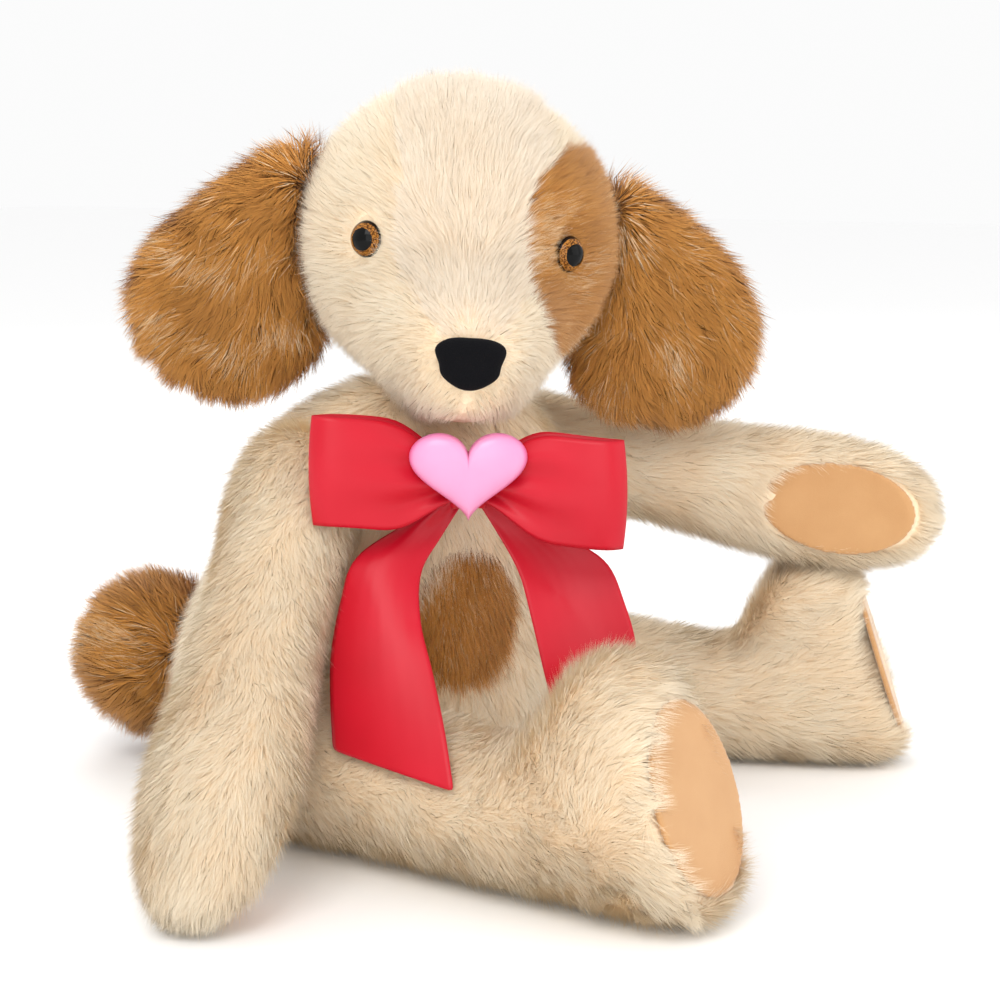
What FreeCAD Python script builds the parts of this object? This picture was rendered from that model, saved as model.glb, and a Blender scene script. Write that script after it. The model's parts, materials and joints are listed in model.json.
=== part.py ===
import FreeCAD, Part
import math
import os

# Sitting jointed plush dog. Millimetres, +Z up, -Y is the way the body faces, +X is the dog's left.
# The origin is on the floor, under the middle of the hips.

# plush, stuffing and fits
plush = 2.0             # backing and pressed pile of every cover
pad_thick = 1.0         # suede pads and the inset patches stand this far proud
slack = 0.3             # between stuffing and cover, and between loose inner pieces
joint_gap = 0.8         # between two covers that turn on each other
run_clear = 0.08        # stem in its body disc, on the radius

# disc joints
stem_radius = 3.0
disc_thick = 2.0
washer_thick = 1.6
washer_radius = 7.0
neck_disc_radius = 16.0
shoulder_disc_radius = 10.0
hip_disc_radius = 13.0

# body: share of the height, middle along Y, half width, half depth
neck_height = 159.6
body_sections = [
    (0.0, 12.0, 43.0, 46.0),
    (0.044, 13.0, 52.0, 58.0),
    (0.15, 14.0, 60.0, 67.0),
    (0.30, 12.0, 62.0, 69.0),
    (0.49, 5.0, 60.0, 63.0),
    (0.665, -2.0, 57.0, 56.0),
    (0.81, -8.0, 54.0, 51.0),
    (0.915, -16.0, 40.0, 39.0),
    (1.0, -24.0, 26.0, 26.0),
]
body_fullness = 0.86    # below 1 fills the corners of the oval
neck_y = -25.0

# head
head_radius = 54.0
head_sink = 5.5         # the round head is cut off this far up for the neck
head_middle = FreeCAD.Vector(2.6, -29.3, neck_height + head_radius - head_sink)
head_yaw = -51.2
head_pitch = 5.8
head_roll = 4.5
gusset_half = 15.0
gusset_floor = -12.0
neck_room = 40.0        # the underside of the head is flat inside this radius
muzzle_sections = [     # along -Y, height, half width, half height
    (8.0, -16.0, 43.0, 33.0),
    (35.0, -21.0, 36.0, 29.0),
    (58.0, -25.0, 27.0, 23.0),
    (73.0, -28.0, 19.0, 17.5),
    (80.0, -29.0, 11.0, 11.0),
    (82.0, -29.3, 7.0, 7.0),
]

# eyes and nose
eye_radius = 6.3
eye_dome = 4.6
eye_aim = (39.8, 3.6)   # turned out from the middle, raised
eye_shank = 1.6
eye_shank_length = 9.0
nose_width = 22.0
nose_height = 16.5
nose_thick = 5.0
nose_shank = 2.0
nose_shank_length = 10.0
trim_washer_radius = 5.0

# ears
ear_outline = [
    (46, 30), (62, 23), (83, 9), (99, -6), (107, -19), (110, -32), (104, -48), (88, -57.5), (67, -58),
    (53, -50), (46, -34),
]
ear_half_thick = 4.5
ear_rim = 0.86          # outline of the outer face, as a share of the seam's
ear_root_gap = 5.0
ear_back = 4.0          # seam behind the middle of the head
ear_length = {"left": 0.875, "right": 1.0}     # the left one is pushed up by the arm

# tail
tail_radius = 21.0
tail_middle = FreeCAD.Vector(-8.0, 109.0, 45.0)
tail_root = FreeCAD.Vector(-2.0, 84.0, 43.0)
tail_stub_radius = 8.0
tail_gap = 3.5

# arms: along the arm, half width, half depth
shoulder = FreeCAD.Vector(61.0, -6.0, neck_height - 34.1)
shoulder_seat = 13.5    # from the arm's middle line to the body
shoulder_flat = 33.0    # radius of the flat the arm turns on
arm_sections = [
    (-20.0, 5.0, 5.0),
    (-15.0, 13.5, 13.0),
    (0.0, 21.0, 20.0),
    (30.0, 20.5, 19.5),
    (62.0, 20.0, 19.0),
    (92.0, 22.5, 20.0),
    (120.0, 24.5, 20.5),
    (142.0, 22.0, 17.5),
    (158.0, 14.0, 11.0),
    (165.0, 4.5, 3.5),
]
arm_way = {
    "right": FreeCAD.Vector(-0.651, -0.232, -0.7225),
    "left": FreeCAD.Vector(0.40, -0.907, -0.125),
}
arm_axis = {
    "right": FreeCAD.Vector(-0.93, 0.03, 0.34),
    "left": FreeCAD.Vector(0.915, 0.403, 0.0),
}
paw_pad_middle = 128.0
paw_pad_half = (28.5, 17.0)

# legs: along the leg, height, half width, half height, lean of the section
hip = FreeCAD.Vector(67.0, 0.0, 0.0)
hip_height = 31.0
hip_seat = 20.0
leg_sections = [
    (-26.0, 31.0, 5.0, 6.0, 0.0),
    (-20.0, 31.0, 15.0, 17.0, 0.0),
    (0.0, 31.0, 26.0, 28.0, 0.0),
    (35.0, 29.5, 25.5, 27.5, 0.0),
    (72.0, 27.0, 25.0, 25.0, 0.0),
    (104.0, 27.5, 26.5, 25.5, 2.0),
    (122.0, 36.0, 29.5, 34.5, 8.0),
    (140.0, 42.5, 32.5, 42.0, 15.0),
    (154.0, 42.5, 31.5, 41.0, 17.0),
    (162.0, 42.0, 28.5, 38.0, 18.0),
]
leg_splay = {"right": 2.0, "left": 25.0}
foot_pad_half = (23.5, 31.0)

# dress
ribbon_thick = 0.6
ribbon_width = 36.0
bow_middle = FreeCAD.Vector(-45.0, -66.0, neck_height - 29.6)
bow_turn = -56.0        # the way the bow faces, from straight ahead
loop_reach = 52.5
loop_depth = 9.0
loop_out = 12.0         # outer ends stand this far in front of the knot
knot_size = (15.0, 20.0, 9.0)
heart_half_width = 20.0
heart_thick = 8.0
heart_edge = 2.0


def vec(x, y, z):
    return FreeCAD.Vector(x, y, z)


def turn(axis, angle):
    return FreeCAD.Rotation(axis, angle)


def closed_curve(points):
    """Smooth closed wire through the points."""
    curve = Part.BSplineCurve()
    curve.interpolate(Points=points, PeriodicFlag=True)
    return Part.Wire([curve.toShape()])


def swell(value, fullness):
    return math.copysign(abs(value) ** fullness, value)


def oval(middle, side, up, half_side, half_up, fullness=1.0):
    """Oval wire with its half axes along side and up."""
    points = []
    for step in range(16):
        angle = math.radians(22.5 * step)
        across = half_side * swell(round(math.cos(angle), 9), fullness)
        along = half_up * swell(round(math.sin(angle), 9), fullness)
        points.append(middle + side * across + up * along)
    return closed_curve(points)


def loft(wires):
    return Part.makeLoft(wires, True, False)


def cylinder(radius, low, high, frame):
    """Cylinder along the frame's Z, from low to high."""
    shape = Part.makeCylinder(radius, high - low, vec(0, 0, low))
    return shape.transformed(frame.toMatrix())


def block(low, high, frame):
    """Box between two corners given in the frame."""
    size = [high[i] - low[i] for i in range(3)]
    shape = Part.makeBox(size[0], size[1], size[2], vec(*low))
    return shape.transformed(frame.toMatrix())


def joint_frame(point, axis):
    return FreeCAD.Placement(point, FreeCAD.Rotation(vec(0, 0, 1), axis))


def write(name, shape):
    """One STEP file for each piece."""
    solids = shape.Solids
    assert solids, name
    out = solids[0] if len(solids) == 1 else Part.Compound(solids)
    out.exportStep("parts/" + name + ".step")


# ---- disc joints: the frame's origin is half way between the two covers, +Z out of the body

disc_start = joint_gap / 2 + plush + slack
disc_end = disc_start + disc_thick
washer_end = disc_end + slack + washer_thick
stem_end = washer_end + 2.0


def limb_disc(frame, radius):
    """Disc inside the limb with the stem that goes through both covers."""
    return cylinder(radius, disc_start, disc_end, frame).fuse(cylinder(stem_radius, -stem_end, disc_start, frame))


def body_disc(frame, radius):
    return cylinder(radius, -disc_end, -disc_start, frame).cut(
        cylinder(stem_radius + run_clear, -disc_end, -disc_start, frame)
    )


def lock_washer(frame):
    start = -washer_end
    end = -disc_end - slack
    return cylinder(washer_radius, start, end, frame).cut(cylinder(stem_radius, start, end, frame))


def limb_room(frame, radius):
    """What the limb's stuffing leaves free."""
    return cylinder(radius + slack, 0, disc_end + slack, frame)


def body_room(frame, radius):
    """What the body's stuffing leaves free."""
    return cylinder(radius + slack, -disc_end - slack, 0, frame).fuse(
        cylinder(washer_radius + slack, -stem_end - slack, 0, frame)
    )


def stem_hole(frame):
    return cylinder(stem_radius + slack, -2 * disc_start, 2 * disc_start, frame)


# ---- body

def body_form(grow):
    """The body's outer surface, moved out by grow."""
    wires = []
    last = len(body_sections) - 1
    for i, (share, y, half_x, half_y) in enumerate(body_sections):
        z = share * neck_height
        height = z - grow if i == 0 else z + grow if i == last else z
        wide = half_x + grow
        deep = half_y + grow
        wires.append(oval(vec(0, y, height), vec(1, 0, 0), vec(0, 1, 0), wide, deep, body_fullness))
    return loft(wires)


def sides():
    return (("left", 1), ("right", -1))


def arm_frame(side, sign):
    """Shoulder joint: on the body side of the arm's middle line."""
    axis = vec(*arm_axis[side]).normalize()
    middle = vec(sign * shoulder.x, shoulder.y, shoulder.z)
    return joint_frame(middle - axis * shoulder_seat, axis)


def leg_way(side, sign):
    splay = math.radians(leg_splay[side])
    return vec(sign * math.sin(splay), -math.cos(splay), 0)


def leg_out(side, sign):
    """Hip axis, square to the leg, out of the body."""
    splay = math.radians(leg_splay[side])
    return vec(sign * math.cos(splay), math.sin(splay), 0)


def leg_frame(side, sign):
    axis = leg_out(side, sign)
    middle = vec(sign * hip.x, hip.y, hip_height)
    return joint_frame(middle - axis * hip_seat, axis)


neck_frame = FreeCAD.Placement(vec(0, neck_y, neck_height + joint_gap / 2), FreeCAD.Rotation())


def arm_pocket(side, sign, grow):
    """Room beside the shoulder, bounded by its flat seat."""
    return cylinder(shoulder_flat + grow, -joint_gap / 2 - grow, 60, arm_frame(side, sign))


def leg_pocket(side, sign, grow):
    """Room beside the hip for the leg from straight ahead to hanging down."""
    out = leg_out(side, sign)
    seat = leg_frame(side, sign).Base - out * (joint_gap / 2 + grow)
    radius = leg_sections[2][3] + 1.5 + grow
    hub = cylinder(radius, -joint_gap / 2 - grow, 70, leg_frame(side, sign))
    way = leg_way(side, sign)
    matrix = FreeCAD.Matrix(
        out.x, way.x, 0, seat.x,
        out.y, way.y, 0, seat.y,
        out.z, way.z, 1, 0,
        0, 0, 0, 1,
    )
    top = hip_height + radius
    front = Part.makeBox(70, 150, top + 20, vec(0, 0, -20))
    under = Part.makeBox(70, radius + 1, hip_height + 20, vec(0, -radius, -20))
    cuts = []
    for box in (front, under):
        cuts.append(box.transformGeometry(matrix))
    return hub.fuse(cuts)


def body_pockets(grow):
    pockets = []
    for side, sign in sides():
        pockets.append(arm_pocket(side, sign, grow))
        pockets.append(leg_pocket(side, sign, grow))
    return pockets


def body_frames():
    frames = [(neck_frame, neck_disc_radius)]
    for side, sign in sides():
        frames.append((arm_frame(side, sign), shoulder_disc_radius))
        frames.append((leg_frame(side, sign), hip_disc_radius))
    return frames


def cut_all(shape, tools):
    for tool in tools:
        shape = shape.cut(tool)
    return shape


def half_space(sign):
    """Everything on one side of X = 0."""
    return Part.makeBox(300, 600, 600, vec(0 if sign > 0 else -300, -300, -100))


def build_body():
    outer = cut_all(body_form(0), body_pockets(0))
    inner = cut_all(body_form(-plush), body_pockets(plush))
    core = cut_all(body_form(-plush - slack), body_pockets(plush + slack))
    holes = [stem_hole(frame) for frame, radius in body_frames()]
    cover = cut_all(outer.cut(inner), holes)
    for side, sign in sides():
        write("body_cover_" + side, cover.common(half_space(sign)))
    rooms = [body_room(frame, radius) for frame, radius in body_frames()]
    write("body_stuffing", cut_all(core, rooms))


def build_belly_patch():
    proud = body_form(pad_thick).cut(body_form(0.02))
    middle = vec(-24, 0, 79)
    prism = loft([
        oval(middle + vec(-60, -100, 0), vec(0.857, -0.515, 0), vec(0, 0, 1), 21.0, 24.0),
        oval(middle + vec(-6, -10, 0), vec(0.857, -0.515, 0), vec(0, 0, 1), 21.0, 24.0),
    ])
    write("belly_patch", proud.common(prism))


# ---- head, modelled facing -Y round its own middle and then turned

head_turn = turn(vec(0, 0, 1), head_yaw).multiply(turn(vec(1, 0, 0), head_pitch)).multiply(
    turn(vec(0, 1, 0), head_roll)
)
head_place = FreeCAD.Placement(head_middle, head_turn)


def on_head(shape):
    return shape.transformed(head_place.toMatrix())


def muzzle_form(grow):
    wires = []
    last = len(muzzle_sections) - 1
    for i, (reach, z, half_x, half_z) in enumerate(muzzle_sections):
        y = -reach - grow if i == last else -reach
        wires.append(oval(vec(0, y, z), vec(1, 0, 0), vec(0, 0, 1), half_x + grow, half_z + grow))
    return loft(wires)


def head_form(grow):
    return Part.makeSphere(head_radius + grow).fuse(muzzle_form(grow)).removeSplitter()


def neck_cut(grow):
    """What lies under the head's flat underside."""
    return cylinder(neck_room, -200, joint_gap / 2 + grow, neck_frame)


def eye_frame(sign):
    """On the head's surface under one eye, +Z outwards."""
    out = math.radians(eye_aim[0])
    rise = math.radians(eye_aim[1])
    way = vec(sign * math.sin(out) * math.cos(rise), -math.cos(out) * math.cos(rise), math.sin(rise))
    return joint_frame(way * head_radius, way)


nose_frame = joint_frame(vec(0, -muzzle_sections[-1][0], muzzle_sections[-1][1]), vec(0, -1, 0))


def trim_hole(frame, radius):
    return cylinder(radius + slack, -20, 10, frame)


def build_head():
    holes = [
        trim_hole(eye_frame(1), eye_shank),
        trim_hole(eye_frame(-1), eye_shank),
        trim_hole(nose_frame, nose_shank),
    ]
    shell = cut_all(head_form(0).cut(head_form(-plush)), holes)
    gusset_box = Part.makeBox(2 * gusset_half, 400, 200, vec(-gusset_half, -200, gusset_floor))
    panels = {
        "head_gusset": shell.common(gusset_box),
        "head_side_left": shell.cut(gusset_box).common(half_space(1)),
        "head_side_right": shell.cut(gusset_box).common(half_space(-1)),
    }
    for name, panel in panels.items():
        write(name, on_head(panel).cut(neck_cut(0)).cut(stem_hole(neck_frame)))
    rooms = [cylinder(trim_washer_radius + slack, -13, 10, eye_frame(sign)) for sign in (1, -1)]
    rooms.append(cylinder(trim_washer_radius + slack, -14, 10, nose_frame))
    core = on_head(cut_all(head_form(-plush - slack), rooms))
    core = core.cut(neck_cut(plush + slack)).cut(limb_room(neck_frame, neck_disc_radius))
    write("head_stuffing", core)
    write("head_floor", build_head_floor())


def build_head_floor():
    """Gathered closing of the head's cover, round the neck stem."""
    form = on_head(head_form(-plush - 0.02))
    plate = cylinder(neck_room, joint_gap / 2, joint_gap / 2 + plush, neck_frame)
    return plate.common(form).cut(stem_hole(neck_frame))


def eye_patch_form():
    """Upright rounded patch round the left eye, narrower below."""
    points = [(17, 28), (30, 37), (46, 30), (53, 8), (50, -14), (40, -28), (29, -22), (20, 0)]
    wires = []
    for y in (-90.0, -4.0):
        wires.append(closed_curve([vec(x, y, z) for x, z in points]))
    return loft(wires)


def build_eye_patch():
    ball = Part.makeSphere(head_radius + pad_thick).cut(head_form(0.02))
    patch = ball.common(eye_patch_form())
    write("eye_patch", on_head(patch.cut(trim_hole(eye_frame(1), eye_shank))))


def eye_solid(frame, lift):
    """Dome with a flat back and a shank."""
    ball_radius = (eye_radius ** 2 + eye_dome ** 2) / (2 * eye_dome)
    ball = Part.makeSphere(ball_radius, vec(0, 0, lift + eye_dome - ball_radius))
    dome = ball.transformed(frame.toMatrix()).common(cylinder(30, lift, 60, frame))
    return dome.fuse(cylinder(eye_shank, lift - eye_shank_length, lift, frame))


def trim_washer(frame, shank):
    return cylinder(trim_washer_radius, -7.0, -5.5, frame).cut(cylinder(shank, -7.0, -5.5, frame))


def build_eyes():
    for side, sign in sides():
        lift = pad_thick + 0.1 if side == "left" else 0.05
        write("eye_" + side, on_head(eye_solid(eye_frame(sign), lift)))
        write("eye_washer_" + side, on_head(trim_washer(eye_frame(sign), eye_shank)))


def build_nose():
    half = nose_width / 2
    high = nose_height / 2
    wires = []
    for depth, share in ((0.1, 0.9), (2.4, 1.0), (nose_thick, 0.72)):
        points = [(-1, 0.72), (-0.6, 1), (0, 1.04), (0.6, 1), (1, 0.72), (0.84, -0.05), (0.45, -0.8), (0, -1)]
        points += [(-0.45, -0.8), (-0.84, -0.05)]
        middle = nose_frame.Base
        wires.append(closed_curve([
            vec(middle.x + x * half * share, middle.y - depth, middle.z + z * high * share) for x, z in points
        ]))
    nose = loft(wires).fuse(cylinder(nose_shank, -nose_shank_length, 0.1, nose_frame))
    write("nose", on_head(nose))
    write("nose_washer", on_head(trim_washer(nose_frame, nose_shank)))


def build_ears():
    """Two layers of plush, sewn together round the rim; the root stays clear of the head."""
    root = Part.makeSphere(head_radius + ear_root_gap)
    for side, sign in sides():
        rim = [vec(sign * x, 0, z * ear_length[side]) for x, z in ear_outline]
        centre = vec(sign * 76, 0, -12)
        for layer, way in (("front", -1), ("back", 1)):
            face = [centre + (point - centre) * ear_rim + vec(0, way * ear_half_thick, 0) for point in rim]
            half = loft([closed_curve(rim), closed_curve(face)]).translated(vec(0, ear_back, 0))
            write("ear_" + layer + "_" + side, on_head(half.cut(root)))


# ---- tail

def build_tail():
    way = (tail_middle - tail_root).normalize()
    frame = joint_frame(tail_root - way * 10, way)
    reach = (tail_middle - tail_root).Length + 10
    form = Part.makeSphere(tail_radius, tail_middle).fuse(cylinder(tail_stub_radius, 0, reach, frame))
    form = form.cut(body_form(tail_gap))
    core = Part.makeSphere(tail_radius - plush, tail_middle)
    write("tail_cover", form.cut(core))
    write("tail_stuffing", Part.makeSphere(tail_radius - plush - slack, tail_middle))


# ---- limbs

def arm_form(side, sign, grow):
    """Arm along its own way, flat against the shoulder seat."""
    way = vec(*arm_way[side]).normalize()
    out = vec(*arm_axis[side]).normalize()
    wide = out.cross(way).normalize()
    deep = way.cross(wide).normalize()
    middle = vec(sign * shoulder.x, shoulder.y, shoulder.z)
    wires = []
    last = len(arm_sections) - 1
    for i, (along, half_wide, half_deep) in enumerate(arm_sections):
        end = -grow if i == 0 else grow if i == last else 0
        wires.append(oval(middle + way * (along + end), wide, deep, half_wide + grow, half_deep + grow))
    frame = arm_frame(side, sign)
    beyond = cylinder(300, joint_gap / 2 - grow, 400, frame)
    return loft(wires).common(beyond)


def build_arms():
    for side, sign in sides():
        frame = arm_frame(side, sign)
        cover = arm_form(side, sign, 0).cut(arm_form(side, sign, -plush)).cut(stem_hole(frame))
        write("arm_cover_" + side, cover)
        core = arm_form(side, sign, -plush - slack).cut(limb_room(frame, shoulder_disc_radius))
        write("arm_stuffing_" + side, core)
        write("shoulder_limb_disc_" + side, limb_disc(frame, shoulder_disc_radius))
        write("shoulder_body_disc_" + side, body_disc(frame, shoulder_disc_radius))
        write("shoulder_washer_" + side, lock_washer(frame))


def build_paw_pads():
    """Suede palm on the side of the paw that faces the body."""
    for side, sign in sides():
        way = vec(*arm_way[side]).normalize()
        out = vec(*arm_axis[side]).normalize()
        wide = out.cross(way).normalize()
        inward = way.cross(wide).normalize() * -1
        middle = vec(sign * shoulder.x, shoulder.y, shoulder.z) + way * paw_pad_middle
        prism = loft([
            oval(middle + inward * reach, way, wide, paw_pad_half[0], paw_pad_half[1]) for reach in (4, 40)
        ])
        shell = arm_form(side, sign, pad_thick).cut(arm_form(side, sign, 0.02))
        write("paw_pad_" + side, shell.common(prism))


def leg_form(side, sign, grow):
    """Leg with its upright foot, flat against the hip seat."""
    way = leg_way(side, sign)
    out = leg_out(side, sign)
    base = vec(sign * hip.x, hip.y, 0)
    wires = []
    last = len(leg_sections) - 1
    for i, (along, z, half_wide, half_high, lean) in enumerate(leg_sections):
        end = -grow if i == 0 else grow if i == last else 0
        tilt = math.radians(lean)
        up = vec(0, 0, 1) * math.cos(tilt) - way * math.sin(tilt)
        middle = base + way * (along + end) + vec(0, 0, z)
        wires.append(oval(middle, out, up, half_wide + grow, half_high + grow))
    frame = leg_frame(side, sign)
    beyond = cylinder(300, joint_gap / 2 - grow, 400, frame)
    above = Part.makeBox(1200, 1200, 400, vec(-600, -600, -grow))
    return loft(wires).common(beyond).common(above)


def build_legs():
    for side, sign in sides():
        frame = leg_frame(side, sign)
        cover = leg_form(side, sign, 0).cut(leg_form(side, sign, -plush)).cut(stem_hole(frame))
        write("leg_cover_" + side, cover)
        core = leg_form(side, sign, -plush - slack).cut(limb_room(frame, hip_disc_radius))
        write("leg_stuffing_" + side, core)
        write("hip_limb_disc_" + side, limb_disc(frame, hip_disc_radius))
        write("hip_body_disc_" + side, body_disc(frame, hip_disc_radius))
        write("hip_washer_" + side, lock_washer(frame))


def build_foot_pads():
    """Suede oval on the flat end of the foot."""
    along, z, half_wide, half_high, lean = leg_sections[-1]
    tilt = math.radians(lean)
    for side, sign in sides():
        way = leg_way(side, sign)
        up = vec(0, 0, 1) * math.cos(tilt) - way * math.sin(tilt)
        face = way * math.cos(tilt) + vec(0, 0, 1) * math.sin(tilt)
        middle = vec(sign * hip.x, hip.y, z) + way * along
        wires = [
            oval(middle + face * reach, leg_out(side, sign), up, foot_pad_half[0], foot_pad_half[1])
            for reach in (0.05, pad_thick)
        ]
        write("foot_pad_" + side, loft(wires))


# ---- dress

bow_rotation = turn(vec(0, 0, 1), bow_turn)


def at_bow(u, v, w):
    """Point from the bow's own right, up and forward distances."""
    return bow_middle + bow_rotation.multVec(vec(u, -w, v))


def ribbon_strip(points, low, high):
    """Upright band of ribbon along points in the bow's right and forward plane."""
    outer = Part.BSplineCurve()
    outer.interpolate(Points=[at_bow(u, low, w) for u, w in points], PeriodicFlag=True)
    inner_points = []
    count = len(points)
    centre_u = sum(point[0] for point in points) / count
    centre_w = sum(point[1] for point in points) / count
    for u, w in points:
        reach = math.hypot(u - centre_u, w - centre_w)
        share = 1 - ribbon_thick / reach
        inner_points.append(at_bow(centre_u + (u - centre_u) * share, low, centre_w + (w - centre_w) * share))
    ring = Part.Face(Part.Wire([outer.toShape()])).cut(Part.Face(closed_curve(inner_points)))
    return ring.extrude(vec(0, 0, high - low))


def build_bow_loops():
    for side, sign, shift in (("left", 1, -4.0), ("right", -1, 1.9)):
        points = [
            (sign * 7.5, 0.0),
            (sign * 18.0, 5.5 + loop_out * 0.2),
            (sign * 34.0, loop_depth + loop_out * 0.5),
            (sign * (loop_reach - 5), loop_depth + loop_out * 0.75),
            (sign * loop_reach, loop_depth * 0.4 + loop_out),
            (sign * (loop_reach - 6), loop_out * 0.85 - 1.0),
            (sign * 34.0, loop_out * 0.45 - 2.0),
            (sign * 18.0, -1.5),
        ]
        half = ribbon_width / 2
        write("bow_loop_" + side, ribbon_strip(points, shift - half, shift + half))


def strip_between(left_edge, right_edge):
    """Thin ribbon between two edges given as right, up and forward distances."""
    wires = []
    for (lu, lv, lw), (ru, rv, rw) in zip(left_edge, right_edge):
        corners = [
            at_bow(lu, lv, lw),
            at_bow(ru, rv, rw),
            at_bow(ru, rv, rw + ribbon_thick),
            at_bow(lu, lv, lw + ribbon_thick),
        ]
        wires.append(Part.makePolygon(corners + [corners[0]]))
    return Part.makeLoft(wires, True, False)


def build_bow_tails():
    near_left = [(-12, -12, -4), (-34, -24, 2), (-43, -38, 11), (-46, -55, 18), (-46, -71, 25), (-45, -86, 31)]
    near_right = [(-4, -14, -4), (-14, -27, 3), (-16, -42, 19), (-12, -58, 32), (-8, -74, 46), (-5, -92, 60)]
    write("bow_tail_right", strip_between(near_left, near_right))
    far_left = [(3, -13, -4), (15, -25, -3.5), (21, -45, 5), (25, -62, 9), (28, -78, 10)]
    far_right = [(12, -13, -4), (47, -31, -2), (54, -45, 5), (57, -60, 9), (46, -79, 10)]
    write("bow_tail_left", strip_between(far_left, far_right))


def build_knot():
    wide, high, deep = knot_size
    wires = []
    for w, share in ((-deep / 2, 0.7), (-deep / 4, 1.0), (deep / 4, 1.0), (deep / 2 - 1.2, 0.75)):
        wires.append(oval(at_bow(0, 0, w - 3.0), bow_rotation.multVec(vec(1, 0, 0)), vec(0, 0, 1),
                          wide / 2 * share * 0.9, high / 2 * share))
    write("bow_knot", loft(wires))


def heart_wire(w, share):
    """Heart outline in the bow's plane, from the usual sine curve."""
    points = []
    for step in range(36):
        angle = math.radians(10 * step + 5)
        u = 16 * math.sin(angle) ** 3
        v = 13 * math.cos(angle) - 5 * math.cos(2 * angle) - 2 * math.cos(3 * angle) - math.cos(4 * angle)
        points.append(at_bow(u * heart_half_width / 16 * share, (v + 2) * 15.5 / 15 * share, w))
    return closed_curve(points)


def build_heart():
    front = 18.5
    back = front - heart_thick
    rings = [
        heart_wire(back, 0.88),
        heart_wire(back + heart_edge, 1.0),
        heart_wire(front - heart_edge, 1.0),
        heart_wire(front, 0.84),
    ]
    write("heart", Part.makeLoft(rings, True, True))


def build_neck_ribbon():
    """Gathered band round the neck, under the chin."""
    band = body_form(1.9).cut(body_form(0.5))
    slab = Part.makeBox(300, 300, 11.0, vec(-150, -150, neck_height - 15.1))
    write("neck_ribbon", band.common(slab).cut(cylinder(26.0, -20, 60, arm_frame("left", 1))))


def main():
    os.makedirs("parts", exist_ok=True)
    build_body()
    build_belly_patch()
    build_head()
    build_eye_patch()
    build_eyes()
    build_nose()
    build_ears()
    build_tail()
    build_arms()
    build_paw_pads()
    build_legs()
    build_foot_pads()
    write("neck_limb_disc", limb_disc(neck_frame, neck_disc_radius))
    write("neck_body_disc", body_disc(neck_frame, neck_disc_radius))
    write("neck_washer", lock_washer(neck_frame))
    build_neck_ribbon()
    build_bow_loops()
    build_bow_tails()
    build_knot()
    build_heart()


main()
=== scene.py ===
import json
import math

import bmesh
import bpy
import numpy as np
from mathutils import Matrix, Vector
from mathutils.bvhtree import BVHTree


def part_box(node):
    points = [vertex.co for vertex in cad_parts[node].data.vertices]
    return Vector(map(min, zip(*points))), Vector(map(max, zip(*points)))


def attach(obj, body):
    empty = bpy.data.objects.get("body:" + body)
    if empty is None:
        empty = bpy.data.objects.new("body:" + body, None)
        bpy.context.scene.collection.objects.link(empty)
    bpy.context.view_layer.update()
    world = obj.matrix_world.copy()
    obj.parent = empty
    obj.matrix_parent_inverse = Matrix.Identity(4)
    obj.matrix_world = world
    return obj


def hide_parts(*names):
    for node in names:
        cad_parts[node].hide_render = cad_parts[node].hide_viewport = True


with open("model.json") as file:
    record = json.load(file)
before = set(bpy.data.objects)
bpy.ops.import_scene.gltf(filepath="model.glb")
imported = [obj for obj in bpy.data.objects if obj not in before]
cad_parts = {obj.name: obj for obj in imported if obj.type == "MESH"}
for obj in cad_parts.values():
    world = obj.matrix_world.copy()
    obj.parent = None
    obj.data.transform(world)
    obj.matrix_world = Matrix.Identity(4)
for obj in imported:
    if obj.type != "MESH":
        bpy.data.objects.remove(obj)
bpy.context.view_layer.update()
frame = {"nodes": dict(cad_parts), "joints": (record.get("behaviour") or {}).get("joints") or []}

# ---- camera: a long lens a little above the toy's eyes, on its right front side
camera_data = bpy.data.cameras.new("camera")
camera_data.lens = 79.2
camera_data.clip_start = 0.05
camera = bpy.data.objects.new("camera", camera_data)
camera.location = (-0.6577, -0.4760, 0.2409)
aim = Vector((-0.0028, -0.0515, 0.1156))
camera.rotation_euler = (aim - camera.location).to_track_quat("-Z", "Y").to_euler()
bpy.context.scene.collection.objects.link(camera)
bpy.context.scene.camera = camera
bpy.context.scene.view_settings.view_transform = "Standard"


# ---- studio: a sweep of white paper under four large soft lights
class Wire:
    """A number socket that takes Python's arithmetic."""

    def __init__(self, net, socket):
        self.net = net
        self.socket = socket

    def math(self, operation, a, b):
        node = self.net.node("ShaderNodeMath", {"operation": operation}, {0: a, 1: b})
        return Wire(self.net, node.outputs[0])

    def __add__(self, other):
        return self.math("ADD", self, other)

    def __sub__(self, other):
        return self.math("SUBTRACT", self, other)

    def __mul__(self, other):
        return self.math("MULTIPLY", self, other)

    def __pow__(self, other):
        return self.math("POWER", self, other)

    def __gt__(self, other):
        return self.math("GREATER_THAN", self, other)

    def __lt__(self, other):
        return self.math("LESS_THAN", self, other)

    def __radd__(self, other):
        return self.math("ADD", other, self)

    def __rsub__(self, other):
        return self.math("SUBTRACT", other, self)

    def __rmul__(self, other):
        return self.math("MULTIPLY", other, self)


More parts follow.
